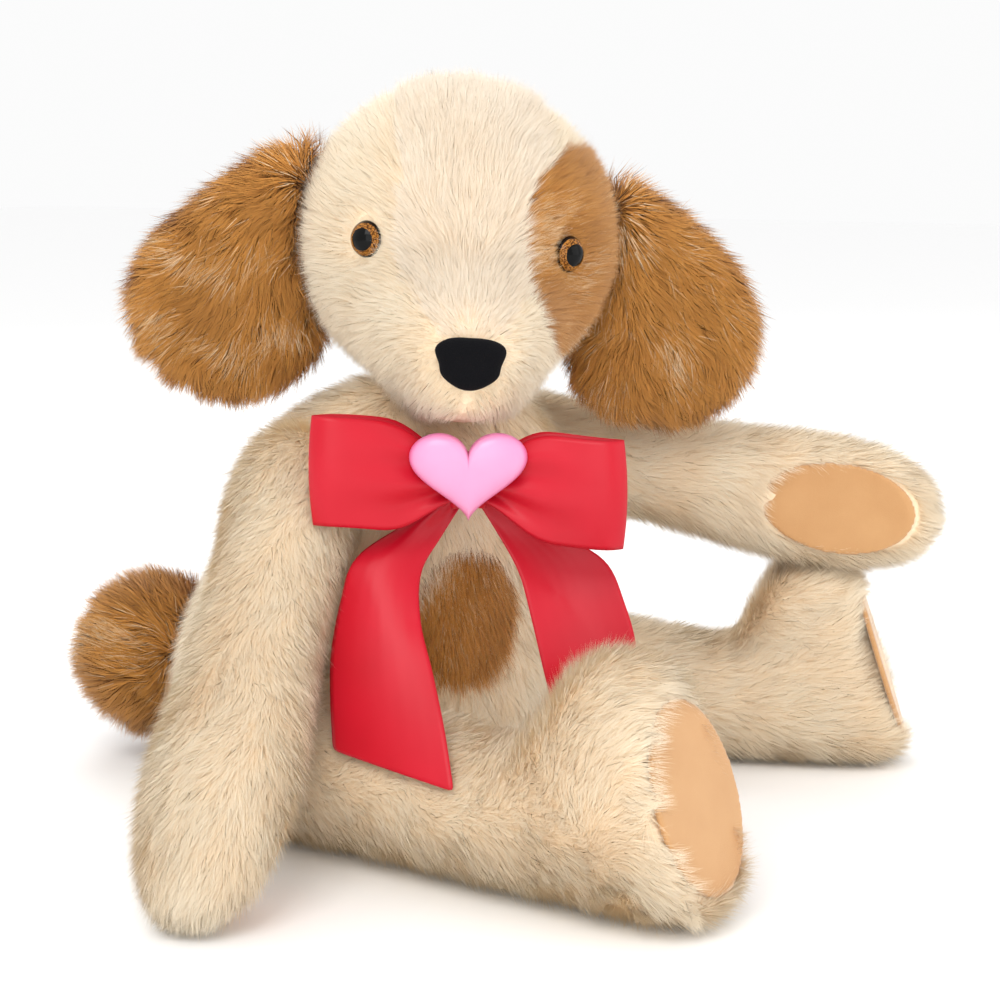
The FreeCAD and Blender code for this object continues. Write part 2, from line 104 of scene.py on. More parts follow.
class Finish:
    """A material with one Principled shader and short ways to add nodes to it."""

    def __init__(self, name, roughness, **fixed):
        self.material = bpy.data.materials.new(name)
        self.material.use_nodes = True
        self.tree = self.material.node_tree
        self.shader = self.tree.nodes["Principled BSDF"]
        self.shader.inputs["Roughness"].default_value = roughness
        for socket, value in fixed.items():
            self.shader.inputs[socket.replace("_", " ")].default_value = value

    def node(self, kind, settings=None, sockets=None):
        node = self.tree.nodes.new(kind)
        for key, value in (settings or {}).items():
            if key == "stops":
                ramp = node.color_ramp
                while len(ramp.elements) < len(value):
                    ramp.elements.new(0.5)
                for element, (place, colour) in zip(ramp.elements, value):
                    element.position = place
                    element.color = colour
            else:
                setattr(node, key, value)
        for key, value in (sockets or {}).items():
            socket = node.inputs[key]
            value = value.socket if isinstance(value, Wire) else value
            if isinstance(value, bpy.types.NodeSocket):
                self.tree.links.new(value, socket)
            else:
                socket.default_value = value
        return node

    def wire(self, node, output=0):
        return Wire(self, node.outputs[output])

    def place(self):
        return self.node("ShaderNodeTexCoord").outputs["Object"]

    def noise(self, vector, scale, detail=3.0, rough=0.5):
        sockets = {"Vector": vector, "Scale": scale, "Detail": detail, "Roughness": rough}
        return self.wire(self.node("ShaderNodeTexNoise", {}, sockets))

    def mix(self, share, first, second):
        node = self.node("ShaderNodeMix", {"data_type": "RGBA"}, {0: share, 6: first, 7: second})
        return node.outputs[2]

    def colour(self, value):
        self.tree.links.new(value, self.shader.inputs["Base Color"])

    def bump(self, height, distance, strength=1.0):
        sockets = {"Height": height, "Distance": distance, "Strength": strength}
        node = self.node("ShaderNodeBump", {}, sockets)
        self.tree.links.new(node.outputs[0], self.shader.inputs["Normal"])


def rgb(red, green, blue):
    """Linear colour from the usual 0 to 255 values."""
    channels = []
    for value in (red, green, blue):
        share = value / 255
        channels.append(share / 12.92 if share <= 0.04045 else ((share + 0.055) / 1.055) ** 2.4)
    return (*channels, 1.0)


def finished(name, bm, material, smooth=True):
    """Object at the origin from a bmesh, with one material."""
    mesh = bpy.data.meshes.new(name)
    bm.to_mesh(mesh)
    bm.free()
    mesh.materials.append(material)
    if smooth:
        mesh.shade_smooth()
    piece = bpy.data.objects.new(name, mesh)
    bpy.context.scene.collection.objects.link(piece)
    return piece


def soft_light(name, place, target, size, power, tint=(1, 1, 1)):
    data = bpy.data.lights.new(name, "AREA")
    data.size = size
    data.energy = power
    data.color = tint
    lamp = bpy.data.objects.new(name, data)
    lamp.location = place
    lamp.rotation_euler = (Vector(target) - Vector(place)).to_track_quat("-Z", "Y").to_euler()
    bpy.context.scene.collection.objects.link(lamp)


paper = Finish("paper", 0.9)
paper.shader.inputs["Base Color"].default_value = (0.985, 0.985, 0.985, 1)
sweep = bmesh.new()
bmesh.ops.create_grid(sweep, x_segments=2, y_segments=2, size=6.0)
floor = finished("floor", sweep, paper.material, smooth=False)
world = bpy.data.worlds.new("studio")
bpy.context.scene.world = world
world.use_nodes = True
world.node_tree.nodes["Background"].inputs["Color"].default_value = (1, 1, 1, 1)
world.node_tree.nodes["Background"].inputs["Strength"].default_value = 0.97
middle = (0, -0.05, 0.12)
soft_light("key", (-1.3, -0.5, 1.5), middle, 1.0, 14, (1, 0.985, 0.96))
soft_light("low", (-1.3, -0.8, 0.35), middle, 1.0, 5)
soft_light("fill", (0.3, -1.7, 0.7), middle, 1.4, 5.5)
soft_light("rim", (0.8, 1.0, 1.2), middle, 0.9, 7)


# ---- plush: short pile of separate tapered fibres standing on a knitted backing. The covers are
# sewn from it over the stuffing; the fibres lean the way the cloth was cut and gather into tufts.
def plush_finish(name, root, body, tip, dark, guard=None):
    """Colour runs from root to tip along a fibre: the darker root is painted shade deep in the pile and the
    lighter tip a painted highlight; every fibre has a tone of its own.
    """
    plush = Finish(name, 0.78, Sheen_Weight=0.15, Sheen_Roughness=0.6)
    where = plush.node("ShaderNodeUVMap", {"uv_map": "OFBake"}).outputs[0]
    split = plush.node("ShaderNodeSeparateXYZ", {}, {0: where})
    tone = plush.wire(split, 0)
    reach = plush.wire(split, 1)
    # painted shade: the root colour darkens the lower part of each fibre, where shade falls deep in the pile
    above_root = plush.node("ShaderNodeMath", {"operation": "SMOOTH_MIN"}, {0: reach * 2.2, 1: 1.0, 2: 0.1})
    low = plush.mix(plush.wire(above_root), root, body)
    # painted highlight: the tip colour lightens the upper part of each fibre
    high = plush.mix((reach ** 2.0) * 0.9, low, tip)
    shade = plush.mix((1 - tone) * 0.4, high, dark)
    if guard:
        shade = plush.mix((tone > 0.88) * (reach > 0.5) * 0.7, shade, guard)
    plush.colour(shade)
    return plush.material


def backing_finish(name, colour, dark):
    """Knitted backing seen between the fibres."""
    knit = Finish(name, 0.9)
    fleck = knit.noise(knit.place(), 900, 2)
    knit.colour(knit.mix(fleck, dark, colour))
    knit.bump(fleck, 0.0004)
    return knit.material


# each pile's colours: a darker root as painted shade in the pile, its own body colour, a lighter tip as a
# painted highlight, and a dark tone for fibres picked at random
cream = plush_finish("cream_pile", rgb(252, 222, 178), rgb(255, 236, 204), rgb(255, 248, 230),
                     rgb(250, 216, 170))
pale = plush_finish("pale_pile", rgb(246, 218, 182), rgb(250, 231, 204), rgb(254, 245, 230),
                    rgb(244, 218, 184))
golden = plush_finish("golden_pile", rgb(112, 62, 18), rgb(204, 132, 46), rgb(228, 164, 76),
                      rgb(128, 72, 22), guard=rgb(252, 232, 196))
# the backings take about the fibres' darker root tone: painted shade down among the fibres
cream_back = backing_finish("cream_backing", rgb(250, 228, 194), rgb(240, 214, 180))
golden_back = backing_finish("golden_backing", rgb(140, 88, 34), rgb(104, 62, 22))


def fibre(steps):
    """One flat tapered fibre: two corners at the root, two at each step up and the tip."""
    bm = bmesh.new()
    bmesh.ops.create_grid(bm, x_segments=1, y_segments=steps, size=1.0)
    tip = [vertex for vertex in bm.verts if vertex.co.y > 0.5]
    bmesh.ops.pointmerge(bm, verts=tip, merge_co=(0, 1, 0))
    bm.verts.ensure_lookup_table()
    order = sorted(bm.verts, key=lambda vertex: (round(vertex.co.y, 3), vertex.co.x))
    for number, vertex in enumerate(order):
        vertex.index = number
    faces = [[vertex.index for vertex in face.verts] for face in bm.faces]
    heights = [(vertex.co.y + 1) / 2 for vertex in order]
    bm.free()
    return faces, heights


FIBRES = {1: fibre(1), 2: fibre(2)}


def unit(vectors):
    return vectors / np.maximum(np.linalg.norm(vectors, axis=-1, keepdims=True), 1e-9)


def wander(points, size, seed):
    """Smooth vector noise with features about size across."""
    draw = np.random.default_rng(seed)
    total = np.zeros_like(points)
    for _ in range(7):
        way = unit(draw.normal(size=3)) * (draw.uniform(0.7, 1.6) * 2 * math.pi / size)
        phase = draw.uniform(0, 2 * math.pi, 3)
        swing = points @ way
        total += np.stack([np.sin(swing + phase[axis]) for axis in range(3)], axis=1)
    return total / 3.2


def surface(piece):
    """Corner positions and normals of a mesh's triangles."""
    mesh = piece.data
    mesh.calc_loop_triangles()
    points = np.empty(len(mesh.vertices) * 3, np.float32)
    mesh.vertices.foreach_get("co", points)
    points = points.reshape(-1, 3).astype(float)
    normals = np.empty(len(mesh.vertices) * 3, np.float32)
    mesh.vertices.foreach_get("normal", normals)
    normals = normals.reshape(-1, 3).astype(float)
    corners = np.empty(len(mesh.loop_triangles) * 3, np.int32)
    mesh.loop_triangles.foreach_get("vertices", corners)
    corners = corners.reshape(-1, 3)
    return points[corners], normals[corners]


def scatter(piece, count, seed):
    """Evenly spread points on a piece with its normals there."""
    points, normals = surface(piece)
    area = np.linalg.norm(np.cross(points[:, 1] - points[:, 0], points[:, 2] - points[:, 0]), axis=1)
    draw = np.random.default_rng(seed)
    pick = draw.choice(len(area), count, p=area / area.sum())
    first = np.sqrt(draw.random(count))
    second = draw.random(count)
    weights = np.stack([1 - first, first * (1 - second), first * second], axis=1)[:, :, None]
    return (points[pick] * weights).sum(1), unit((normals[pick] * weights).sum(1))


ROOT_DEPTH = 0.0006
TUFT_KINDS = 100003


def grow(name, roots, normals, comb, length, material, seed, width=0.00023, lift=0.6, lie=0.16,
         tuft=0.0055, mess=0.2, barrier=None, steps=1):
    """Pile of fibres: comb is the lean at each root, lift and lie how upright root and tip stand.

    Tips are drawn towards the middle of their tuft, and a fibre under the barrier is cut short."""
    draw = np.random.default_rng(seed)
    count = len(roots)
    length = length * draw.uniform(0.72, 1.15, count)
    lean = comb + wander(roots, 0.05, seed + 1) * 0.3 + wander(roots, 0.016, seed + 2) * mess
    lean = unit(lean - normals * (lean * normals).sum(1, keepdims=True))
    stray = draw.normal(size=(count, 3)) * 0.12
    start = unit(normals * lift + lean * (1 - lift * 0.5) + stray)
    end = unit(normals * lie + lean + stray * 1.6)
    halfway = roots + start * (length * 0.5)[:, None]
    tips = halfway + end * (length * 0.55)[:, None]
    cells = np.floor((tips + wander(roots, 0.02, seed + 3) * 0.003) / tuft)
    key = (cells @ np.array([73856093, 19349663, 83492791])).astype(np.int64) % TUFT_KINDS
    offsets = np.random.default_rng(seed + 4).random((TUFT_KINDS, 3)) - 0.5
    pull = (cells + 0.5 + offsets[key]) * tuft - tips
    pull -= normals * (pull * normals).sum(1, keepdims=True) * 0.6
    tips = tips + pull * 0.18
    if barrier:
        reach = np.ones(count)
        near = ((roots > DRESS_LOW) & (roots < DRESS_HIGH)).all(axis=1)
        for number in np.flatnonzero(near):
            path = tips[number] - roots[number]
            far = np.linalg.norm(path)
            hit = barrier.ray_cast(Vector(roots[number]), Vector(path / far), far * 1.25)
            if hit[0]:
                reach[number] = max(0.15, hit[3] / (far * 1.25) * 0.8)
        halfway = roots + (halfway - roots) * reach[:, None]
        tips = roots + (tips - roots) * reach[:, None]
    halfway[:, 2] = np.maximum(halfway[:, 2], 0.0006)
    tips[:, 2] = np.maximum(tips[:, 2], 0.0004)
    side = unit(np.cross(start, normals) + draw.normal(size=(count, 3)) * 0.45)
    side = side * (width / 2 * draw.uniform(0.7, 1.2, count))[:, None]
    base = roots - normals * ROOT_DEPTH
    base[:, 2] = np.maximum(base[:, 2], 0.0003)
    rows = [base - side, base + side, halfway - side * 0.85, halfway + side * 0.85, tips]
    if steps == 1:
        rows = [base - side, base + side, tips]
    rows = np.stack(rows, axis=1)
    corner_count = rows.shape[1]
    shade = 0.5 + wander(roots, 0.03, seed + 5)[:, 0] * 0.28 + draw.normal(size=count) * 0.2
    shade = np.clip(shade, 0.02, 0.98)
    mesh = bpy.data.meshes.new(name)
    mesh.vertices.add(count * corner_count)
    mesh.vertices.foreach_set("co", rows.astype(np.float32).ravel())
    faces, heights = FIBRES[steps]
    sizes = [len(face) for face in faces]
    corners = np.array([corner for face in faces for corner in face])
    loops = (np.arange(count)[:, None] * corner_count + corners[None, :]).ravel()
    mesh.loops.add(len(loops))
    mesh.loops.foreach_set("vertex_index", loops.astype(np.int32))
    starts = np.cumsum([0] + sizes[:-1])
    polygons = (np.arange(count)[:, None] * sum(sizes) + starts[None, :]).ravel()
    mesh.polygons.add(len(polygons))
    mesh.polygons.foreach_set("loop_start", polygons.astype(np.int32))
    chart = mesh.uv_layers.new(name="OFBake")
    up = np.array(heights)[corners]
    places = np.stack([np.repeat(shade, len(corners)), np.tile(up * 0.96 + 0.02, count)], axis=1)
    chart.data.foreach_set("uv", places.astype(np.float32).ravel())
    mesh.update(calc_edges=True)
    mesh.materials.append(material)
    mesh.shade_smooth()
    soft = unit(normals * 1.2 + lean * 0.2 + draw.normal(size=(count, 3)) * 0.12)
    soft = np.repeat(soft, corner_count, axis=0).astype(np.float32)
    mesh.normals_split_custom_set_from_vertices(soft)
    pile = bpy.data.objects.new(name, mesh)
    bpy.context.scene.collection.objects.link(pile)
    return pile


THIN = 1.0
REST_HEIGHT = 0.0008
CLOTH_FRAMES = 12


def soften(bm, times):
    """Evens out a mesh."""
    for _ in range(times):
        bmesh.ops.smooth_vert(bm, verts=bm.verts, factor=0.5, use_axis_x=True, use_axis_y=True,
                              use_axis_z=True)
    bm.normal_update()


def recast(piece, voxel):
    """One even closed skin in place of a piece's own mesh."""
    remesh = piece.modifiers.new("remesh", "REMESH")
    remesh.mode = "VOXEL"
    remesh.voxel_size = voxel
    settle(piece)


def grown(piece, times, swell):
    """A recast skin evened out and grown by the thickness of its cloth."""
    bm = bmesh.new()
    bm.from_mesh(piece.data)
    soften(bm, times)
    for vertex in bm.verts:
        vertex.co += vertex.normal * swell
    bm.to_mesh(piece.data)
    bm.free()


def copy_of(*nodes):
    """A loose copy of CAD nodes as one bmesh, its triangles merged."""
    bm = bmesh.new()
    for node in nodes:
        bm.from_mesh(frame["nodes"][node].data)
    bmesh.ops.remove_doubles(bm, verts=bm.verts, dist=0.00001)
    return bm


def stuffed(name, material, nodes, swell, voxel=0.004, pressure=4.0, cap=0.003, smooth=6):
    """Cover over its stuffing: the stuffing's form, grown by the cloth and puffed by a simulation."""
    skin = finished(name, copy_of(*nodes), material)
    recast(skin, voxel)
    grown(skin, smooth, swell)
    before = np.array([vertex.co[:] for vertex in skin.data.vertices])
    cloth = skin.modifiers.new("cloth", "CLOTH")
    cloth.settings.use_pressure = True
    cloth.settings.uniform_pressure_force = pressure
    cloth.settings.effector_weights.gravity = 0
    cloth.settings.quality = 4
    cloth.point_cache.frame_start = 1
    cloth.point_cache.frame_end = CLOTH_FRAMES
    scene = bpy.context.scene
    for number in range(1, CLOTH_FRAMES + 1):
        scene.frame_set(number)
    settle(skin)
    scene.frame_set(1)
    after = np.array([vertex.co[:] for vertex in skin.data.vertices])
    shift = after - before
    size = np.linalg.norm(shift, axis=1, keepdims=True)
    shift = shift * np.minimum(1, cap / np.maximum(size, 1e-9))
    after = before + shift
    after[:, 2] = np.maximum(after[:, 2], REST_HEIGHT)
    skin.data.vertices.foreach_set("co", after.astype(np.float32).ravel())
    for vertex in skin.data.vertices:
        vertex.co.z = max(vertex.co.z, REST_HEIGHT)
    skin.data.update()
    return skin


def settle(piece):
    """Applies a piece's modifiers to its mesh."""
    bpy.context.view_layer.update()
    graph = bpy.context.evaluated_depsgraph_get()
    done = bpy.data.meshes.new_from_object(piece.evaluated_get(graph))
    piece.modifiers.clear()
    old = piece.data
    piece.data = done
    bpy.data.meshes.remove(old)


# ---- ribbon: red satin, 36 mm wide, tied in a bow at the neck on the side the face looks to. The two
# loops are gathered behind the heart; the ends are cut on the slant and hang to the thighs.
RIBBON_WIDTH = 0.036
bow_middle = Vector((-0.045, -0.066, 0.130))
bow_turn = math.radians(-56)
bow_right = Vector((math.cos(bow_turn), math.sin(bow_turn), 0))
bow_out = Vector((math.sin(bow_turn), -math.cos(bow_turn), 0))
satin = Finish("red_satin", 0.38, Specular_IOR_Level=0.3, Anisotropic=0.5)
thread = satin.wire(satin.node("ShaderNodeTexWave", {"wave_type": "BANDS", "bands_direction": "X"},
                               {"Vector": satin.node("ShaderNodeUVMap", {"uv_map": "weave"}).outputs[0],
                                "Scale": 60.0, "Distortion": 0.4, "Detail": 1.0}))
cloudy = satin.noise(satin.place(), 38, 2)
satin.colour(satin.mix(cloudy, rgb(180, 10, 30), rgb(200, 16, 42)))
satin.bump(thread, 0.00003, 0.5)


def at_bow(u, v, w):
    """Point from millimetres to the right, up and out of the bow's middle."""
    return bow_middle + bow_right * (u / 1000) + Vector((0, 0, v / 1000)) + bow_out * (w / 1000)


def ease(x):
    x = min(1.0, max(0.0, x))
    return x * x * (3 - 2 * x)


def along(points, share):
    """Smooth curve through points, share from 0 to 1."""
    place = share * (len(points) - 1)
    number = min(int(place), len(points) - 2)
    t = place - number
    before = points[max(number - 1, 0)]
    here = points[number]
    there = points[number + 1]
    after = points[min(number + 2, len(points) - 1)]
    out = []
    for a, b, c, d in zip(before, here, there, after):
        out.append(0.5 * (2 * b + (c - a) * t + (2 * a - 5 * b + 4 * c - d) * t ** 2
                          + (3 * b - a - 3 * c + d) * t ** 3))
    return out


def ribbon(name, shape, rows, columns, node, length):
    """Length of ribbon: shape gives a point for shares along and across it."""
    bm = bmesh.new()
    bmesh.ops.create_grid(bm, x_segments=columns, y_segments=rows, size=1.0, calc_uvs=False)
    chart = bm.loops.layers.uv.new("weave")
    for face in bm.faces:
        for loop in face.loops:
            across = (loop.vert.co.x + 1) * RIBBON_WIDTH / 2
            loop[chart].uv = (across, (loop.vert.co.y + 1) / 2 * length)
    for vertex in bm.verts:
        vertex.co = shape((vertex.co.y + 1) / 2, (vertex.co.x + 1) / 2)
    strip = finished(name, bm, satin.material)
    strip.modifiers.new("smooth", "SUBSURF").levels = 1
    strip.modifiers["smooth"].render_levels = 1
    wall = strip.modifiers.new("wall", "SOLIDIFY")
    wall.thickness = 0.0003
    wall.offset = 0
    settle(strip)
    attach(strip, "torso")
    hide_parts(node)


def loop_shape(sign, middle_shift):
    """Loop of the bow: out along the front, round the end and back behind, pinched at the knot."""
    path = [(4.0, 7.0), (14.0, 10.5), (30.0, 16.0), (46.0, 19.5), (53.0, 15.5), (48.0, 11.0), (32.0, 4.5),
            (16.0, 0.5), (5.0, 0.0)]

    def shape(s, t):
        u, w = along(path, s)
        open_share = ease((u - 3) / 24)
        half = 6.5 + 11.8 * open_share
        across = (t - 0.5) * 2
        front = 1 if s < 0.5 else 0.4
        pleat = math.cos(across * 8.0 + 0.6 + u * 0.03) * 2.1 * (1 - ease(u / 46)) * front
        cup = -1.6 * across * across * open_share * front
        v = across * half + middle_shift * ease(u / 50)
        end = 1.2 * across * across * ease((u - 40) / 13)
        return at_bow(sign * (u - end), v, w + pleat + cup)

    return shape


def end_shape(left, right, wave, phase):
    """Hanging end of the ribbon between its two edges."""
    def shape(s, t):
        a = along(left, s)
        b = along(right, s)
        u, v, w = [first * (1 - t) + second * t for first, second in zip(a, b)]
        swell = wave * math.sin(math.pi * t) * math.sin(math.pi * (0.15 + 0.8 * s))
        fold = wave * 0.55 * math.sin(6.0 * t + phase) * (1 - ease(s * 2.4))
        return at_bow(u, v, w + swell + fold)

    return shape


near_left = [(-7, -6, -3), (-22, -16, -1), (-38, -26, 7), (-43, -40, 12), (-46, -56, 19), (-46, -71, 25.6),
             (-45, -86, 31.6)]
near_right = [(-2, -9, -3), (-9, -20, -1), (-16, -31, 8), (-16, -45, 21), (-12, -59, 33), (-8, -75, 47),
              (-5, -92, 60)]
far_left = [(2, -7, -3), (9, -18, -3), (17, -32, 0), (21, -46, 5), (25, -63, 9), (27, -71, 9.6), (29, -78, 10)]
far_right = [(9, -6, -3), (26, -18, -4), (46, -28, -2), (53, -42, 4), (57, -58, 9), (53, -70, 10),
             (47, -79, 10)]
ribbon("bow_loop_near", loop_shape(-1, 5.0), 26, 12, "bow_loop_right", 0.104)
ribbon("bow_loop_far", loop_shape(1, -3.5), 26, 12, "bow_loop_left", 0.104)
ribbon("bow_end_near", end_shape(near_left, near_right, 3.0, 0.4), 26, 12, "bow_tail_right", 0.108)
ribbon("bow_end_far", end_shape(far_left, far_right, -2.5, 2.0), 22, 12, "bow_tail_left", 0.085)


# the knot: a short turn of the same ribbon drawn tight round the middle
def knot_shape(s, t):
    angle = 2 * math.pi * s
    across = (t - 0.5) * 2
    half = 6.2 + 0.8 * math.cos(2 * angle)
    pleat = 0.5 * math.cos(across * 9 + 2 * angle)
    reach = 1 + 0.06 * across * across
    depth = 2.6 + (5.2 * reach + pleat) * math.cos(angle)
    return at_bow(across * half, 9.5 * reach * math.sin(angle), depth)


ribbon("bow_knot_wrap", knot_shape, 28, 8, "bow_knot", 0.050)

# the band round the neck: pulled tight into the pile, seen only as an edge under the chin
band_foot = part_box("neck_ribbon")[0][2]


def neck_shape(s, t):
    angle = 2 * math.pi * s
    reach_x = 0.0305 - 0.0065 * t
    reach_y = 0.0290 - 0.0060 * t
    pleat = 0.0007 * math.sin(26 * angle + 8 * t)
    x = (reach_x + pleat) * math.cos(angle)
    y = -0.0145 - 0.0035 * t + (reach_y + pleat) * math.sin(angle)
    return Vector((x, y, band_foot + t * 0.0112))


ribbon("neck_band", neck_shape, 96, 6, "neck_ribbon", 0.27)


# ---- heart: pink satin stitched over a padded shape, its rounded side a deeper pink, sewn to the front
# of the knot
def heart_outline(count):
    points = []
    for step in range(count):
        angle = 2 * math.pi * (step + 0.5) / count
        u = 16 * math.sin(angle) ** 3
        v = 13 * math.cos(angle) - 5 * math.cos(2 * angle) - 2 * math.cos(3 * angle) - math.cos(4 * angle)
        points.append((u / 16 * 20.0, (v + 2) * 15.5 / 15))
    return points


pink = Finish("pink_satin", 0.3, Specular_IOR_Level=0.5, Coat_Weight=0.15, Coat_Roughness=0.25)
rim = pink.wire(pink.node("ShaderNodeAttribute", {"attribute_name": "rim"}), 2)
soft = pink.noise(pink.place(), 90, 2)
pink.colour(pink.mix(rim, pink.mix(soft, rgb(228, 142, 184), rgb(236, 156, 196)), rgb(224, 118, 172)))
pink.bump(pink.noise(pink.place(), 1500, 2), 0.00003)
bm = bmesh.new()
edge_layer = bm.verts.layers.float.new("rim")
outline = heart_outline(48)
rings = []
profile = [(0.86, 10.6, 1.0), (0.98, 11.2, 1.0), (1.0, 13.4, 1.0), (0.985, 15.4, 0.9),
           (0.94, 17.0, 0.25), (0.84, 18.2, 0.0), (0.62, 19.1, 0.0), (0.34, 19.5, 0.0)]
for share, w, mark in profile:
    ring = []
    for u, v in outline:
        vertex = bm.verts.new(at_bow(u * share, (v - 1.0) * share + 4.0, w))
        vertex[edge_layer] = mark
        ring.append(vertex)
    rings.append(ring)
for first, second in zip(rings, rings[1:]):
    edges = []
    for ring in (first, second):
        for number, vertex in enumerate(ring):
            after = ring[(number + 1) % len(ring)]
            edge = bm.edges.get((vertex, after)) or bm.edges.new((vertex, after))
            edges.append(edge)
    bmesh.ops.bridge_loops(bm, edges=edges)
bm.faces.new(rings[0])
bm.faces.new(rings[-1])
bmesh.ops.recalc_face_normals(bm, faces=bm.faces)
heart = finished("heart_pad", bm, pink.material)
heart.modifiers.new("smooth", "SUBSURF").levels = 1
heart.modifiers["smooth"].render_levels = 1
settle(heart)
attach(heart, "torso")
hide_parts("heart")


# ---- body: two cream plush panels sewn down the front and the back over the stuffing, flat where it
# sits; a golden patch is let into the belly
DRESS_GAP = 0.014
dress_mesh = bmesh.new()
for name in ("bow_loop_near", "bow_loop_far", "bow_end_near", "bow_end_far", "bow_knot_wrap",
             "heart_pad"):
    dress_mesh.from_mesh(bpy.data.objects[name].data)
dress_wall = BVHTree.FromBMesh(dress_mesh)
dress_places = np.array([vertex.co[:] for vertex in dress_mesh.verts])
DRESS_LOW = dress_places.min(0) - DRESS_GAP
DRESS_HIGH = dress_places.max(0) + DRESS_GAP
dress_mesh.free()
GROWN = 0.0021
body_skin = stuffed("skin_body", cream_back, ["body_stuffing"], GROWN)
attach(body_skin, "torso")
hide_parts("body_cover_left", "body_cover_right", "body_stuffing")


def belly_share(points):
    """Above 0 inside the golden belly patch."""
    side = (points - np.array([-0.024, -0.05, 0.079])) @ np.array([0.857, -0.515, 0.0])
    rise = points[:, 2] - 0.079
    front = points[:, 1] < -0.01
    return np.where(front, 1 - (side / 0.021) ** 2 - (rise / 0.024) ** 2, -1)


def near_limb(points, joints, radius):
    """True on the flats that the limbs turn on."""
    found = np.zeros(len(points), bool)
    for joint in frame["joints"]:
        if joint["name"] in joints:
            found |= np.linalg.norm(points - np.array(joint["pos_m"]), axis=1) < radius
    return found


def pile(name, body, slot_name, nodes, *args, **named):
    """Grows a pile and hangs it on its body."""
    fur = grow(name, *args, **named)
    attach(fur, body)
    if nodes:
        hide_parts(*nodes)


BODY_PILE = 0.0098
roots, normals = scatter(body_skin, int(195000 * THIN), 11)
hidden = near_limb(roots, ("shoulder_left", "shoulder_right", "hip_left", "hip_right"), 0.022)
bare = (roots[:, 2] < 0.003) | (roots[:, 2] > 0.1575)
keep = (belly_share(roots) < 0) & ~bare
down = np.zeros_like(roots) + np.array([0.0, 0.0, -1.0])
lengths = np.where(hidden, 0.004, BODY_PILE)
pile("fur_body", "torso", "cream_plush", [], roots[keep], normals[keep], down[keep], lengths[keep], cream, 12,
     barrier=dress_wall)
roots, normals = scatter(body_skin, int(400000 * THIN), 13)
inside = belly_share(roots) > 0
roots = roots[inside]
down = np.zeros_like(roots) + np.array([0.1, 0, -1.0])
pile("fur_belly_patch", "torso", "golden_plush", ["belly_patch"], roots, normals[inside], down, 0.0105,
     golden, 14, barrier=dress_wall)


# ---- head: two side panels and a paler forehead gusset sewn over firm stuffing, with a golden patch round
# the left eye; the seams run from the ears to the nose and the mouth is the seam under it
head_middle = Vector((0.0026, -0.0293, 0.2081))
head_turn = (Matrix.Rotation(math.radians(-51.2), 3, "Z") @ Matrix.Rotation(math.radians(5.8), 3, "X")
             @ Matrix.Rotation(math.radians(4.5), 3, "Y"))
TURN = np.array(head_turn)


def to_head(points):
    """Positions as seen from the head's own middle, face along -Y."""
    return (points - np.array(head_middle)) @ TURN


def from_head(vectors):
    return vectors @ TURN.T


head_skin = stuffed("skin_head", cream_back, ["head_stuffing"], GROWN)
for vertex in head_skin.data.vertices:
    local = head_turn.transposed() @ (vertex.co - head_middle)
    low = ease((-local.y - 0.026) / 0.03) * ease((-0.022 - local.z) / 0.025)
    local.z -= 0.0065 * low
    local.x *= 1 + 0.05 * low
    vertex.co = head_middle + head_turn @ local
head_skin.data.update()
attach(head_skin, "head")
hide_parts("head_side_left", "head_side_right", "head_stuffing", "head_floor")
HEAD_REACH = 0.054
eye_spread = math.radians(39.8)
eye_rise = math.radians(3.6)
EYES = np.array([[sign * math.sin(eye_spread) * math.cos(eye_rise),
                  -math.cos(eye_spread) * math.cos(eye_rise),
                  math.sin(eye_rise)] for sign in (1, -1)]) * HEAD_REACH
NOSE = np.array([0.0, -0.084, -0.0293])


def eye_patch_share(local):
    """Above 0 inside the rounded patch round the left eye."""
    middle_x, middle_z, half = 0.0365, 0.004, 0.0215
    upper = local[:, 2] > middle_z
    wide = np.where(upper, half, half - (middle_z - local[:, 2]) * 0.28)
    high = np.where(upper, 0.031, 0.034)
    share = 1 - ((local[:, 0] - middle_x) / wide) ** 2 - ((local[:, 2] - middle_z) / high) ** 2
    return np.where(local[:, 1] < 0.0, share, -1)


def gusset_edge(local):
    """Distance inside the forehead gusset's seams, which draw together towards the nose."""
    half = np.interp(local[:, 1], [-0.084, -0.07, -0.055, -0.035, 0.0, 0.06],
                     [0.008, 0.014, 0.020, 0.024, 0.026, 0.021])
    ragged = wander(local, 0.004, 5)[:, 0] * 0.0016
    return np.where(local[:, 2] > -0.022, half - np.abs(local[:, 0]) + ragged, -0.01)


def face_lengths(local, base):
    """Shorter pile on the muzzle, round the eyes and the nose, and along the seams."""
    length = np.zeros(len(local)) + base
    muzzle = np.clip((-local[:, 1] - 0.048) / 0.03, 0, 1)
    length *= 1 - 0.38 * muzzle
    for eye in EYES:
        away = np.linalg.norm(local - eye, axis=1)
        length *= np.interp(away, [0.005, 0.0075, 0.014], [0.25, 0.5, 1.0])
    away = np.linalg.norm((local - NOSE) * np.array([1, 1, 1.25]), axis=1)
    length *= np.interp(away, [0.010, 0.013, 0.022], [0.5, 0.7, 1.0])
    seam = np.abs(gusset_edge(local))
    length *= np.interp(seam, [0, 0.0025], [0.62, 1.0])
    mouth = np.where((local[:, 2] < -0.036) & (local[:, 1] < -0.04), np.abs(local[:, 0]), 1)
    length *= np.interp(mouth, [0, 0.0022], [0.4, 1.0])
    return length


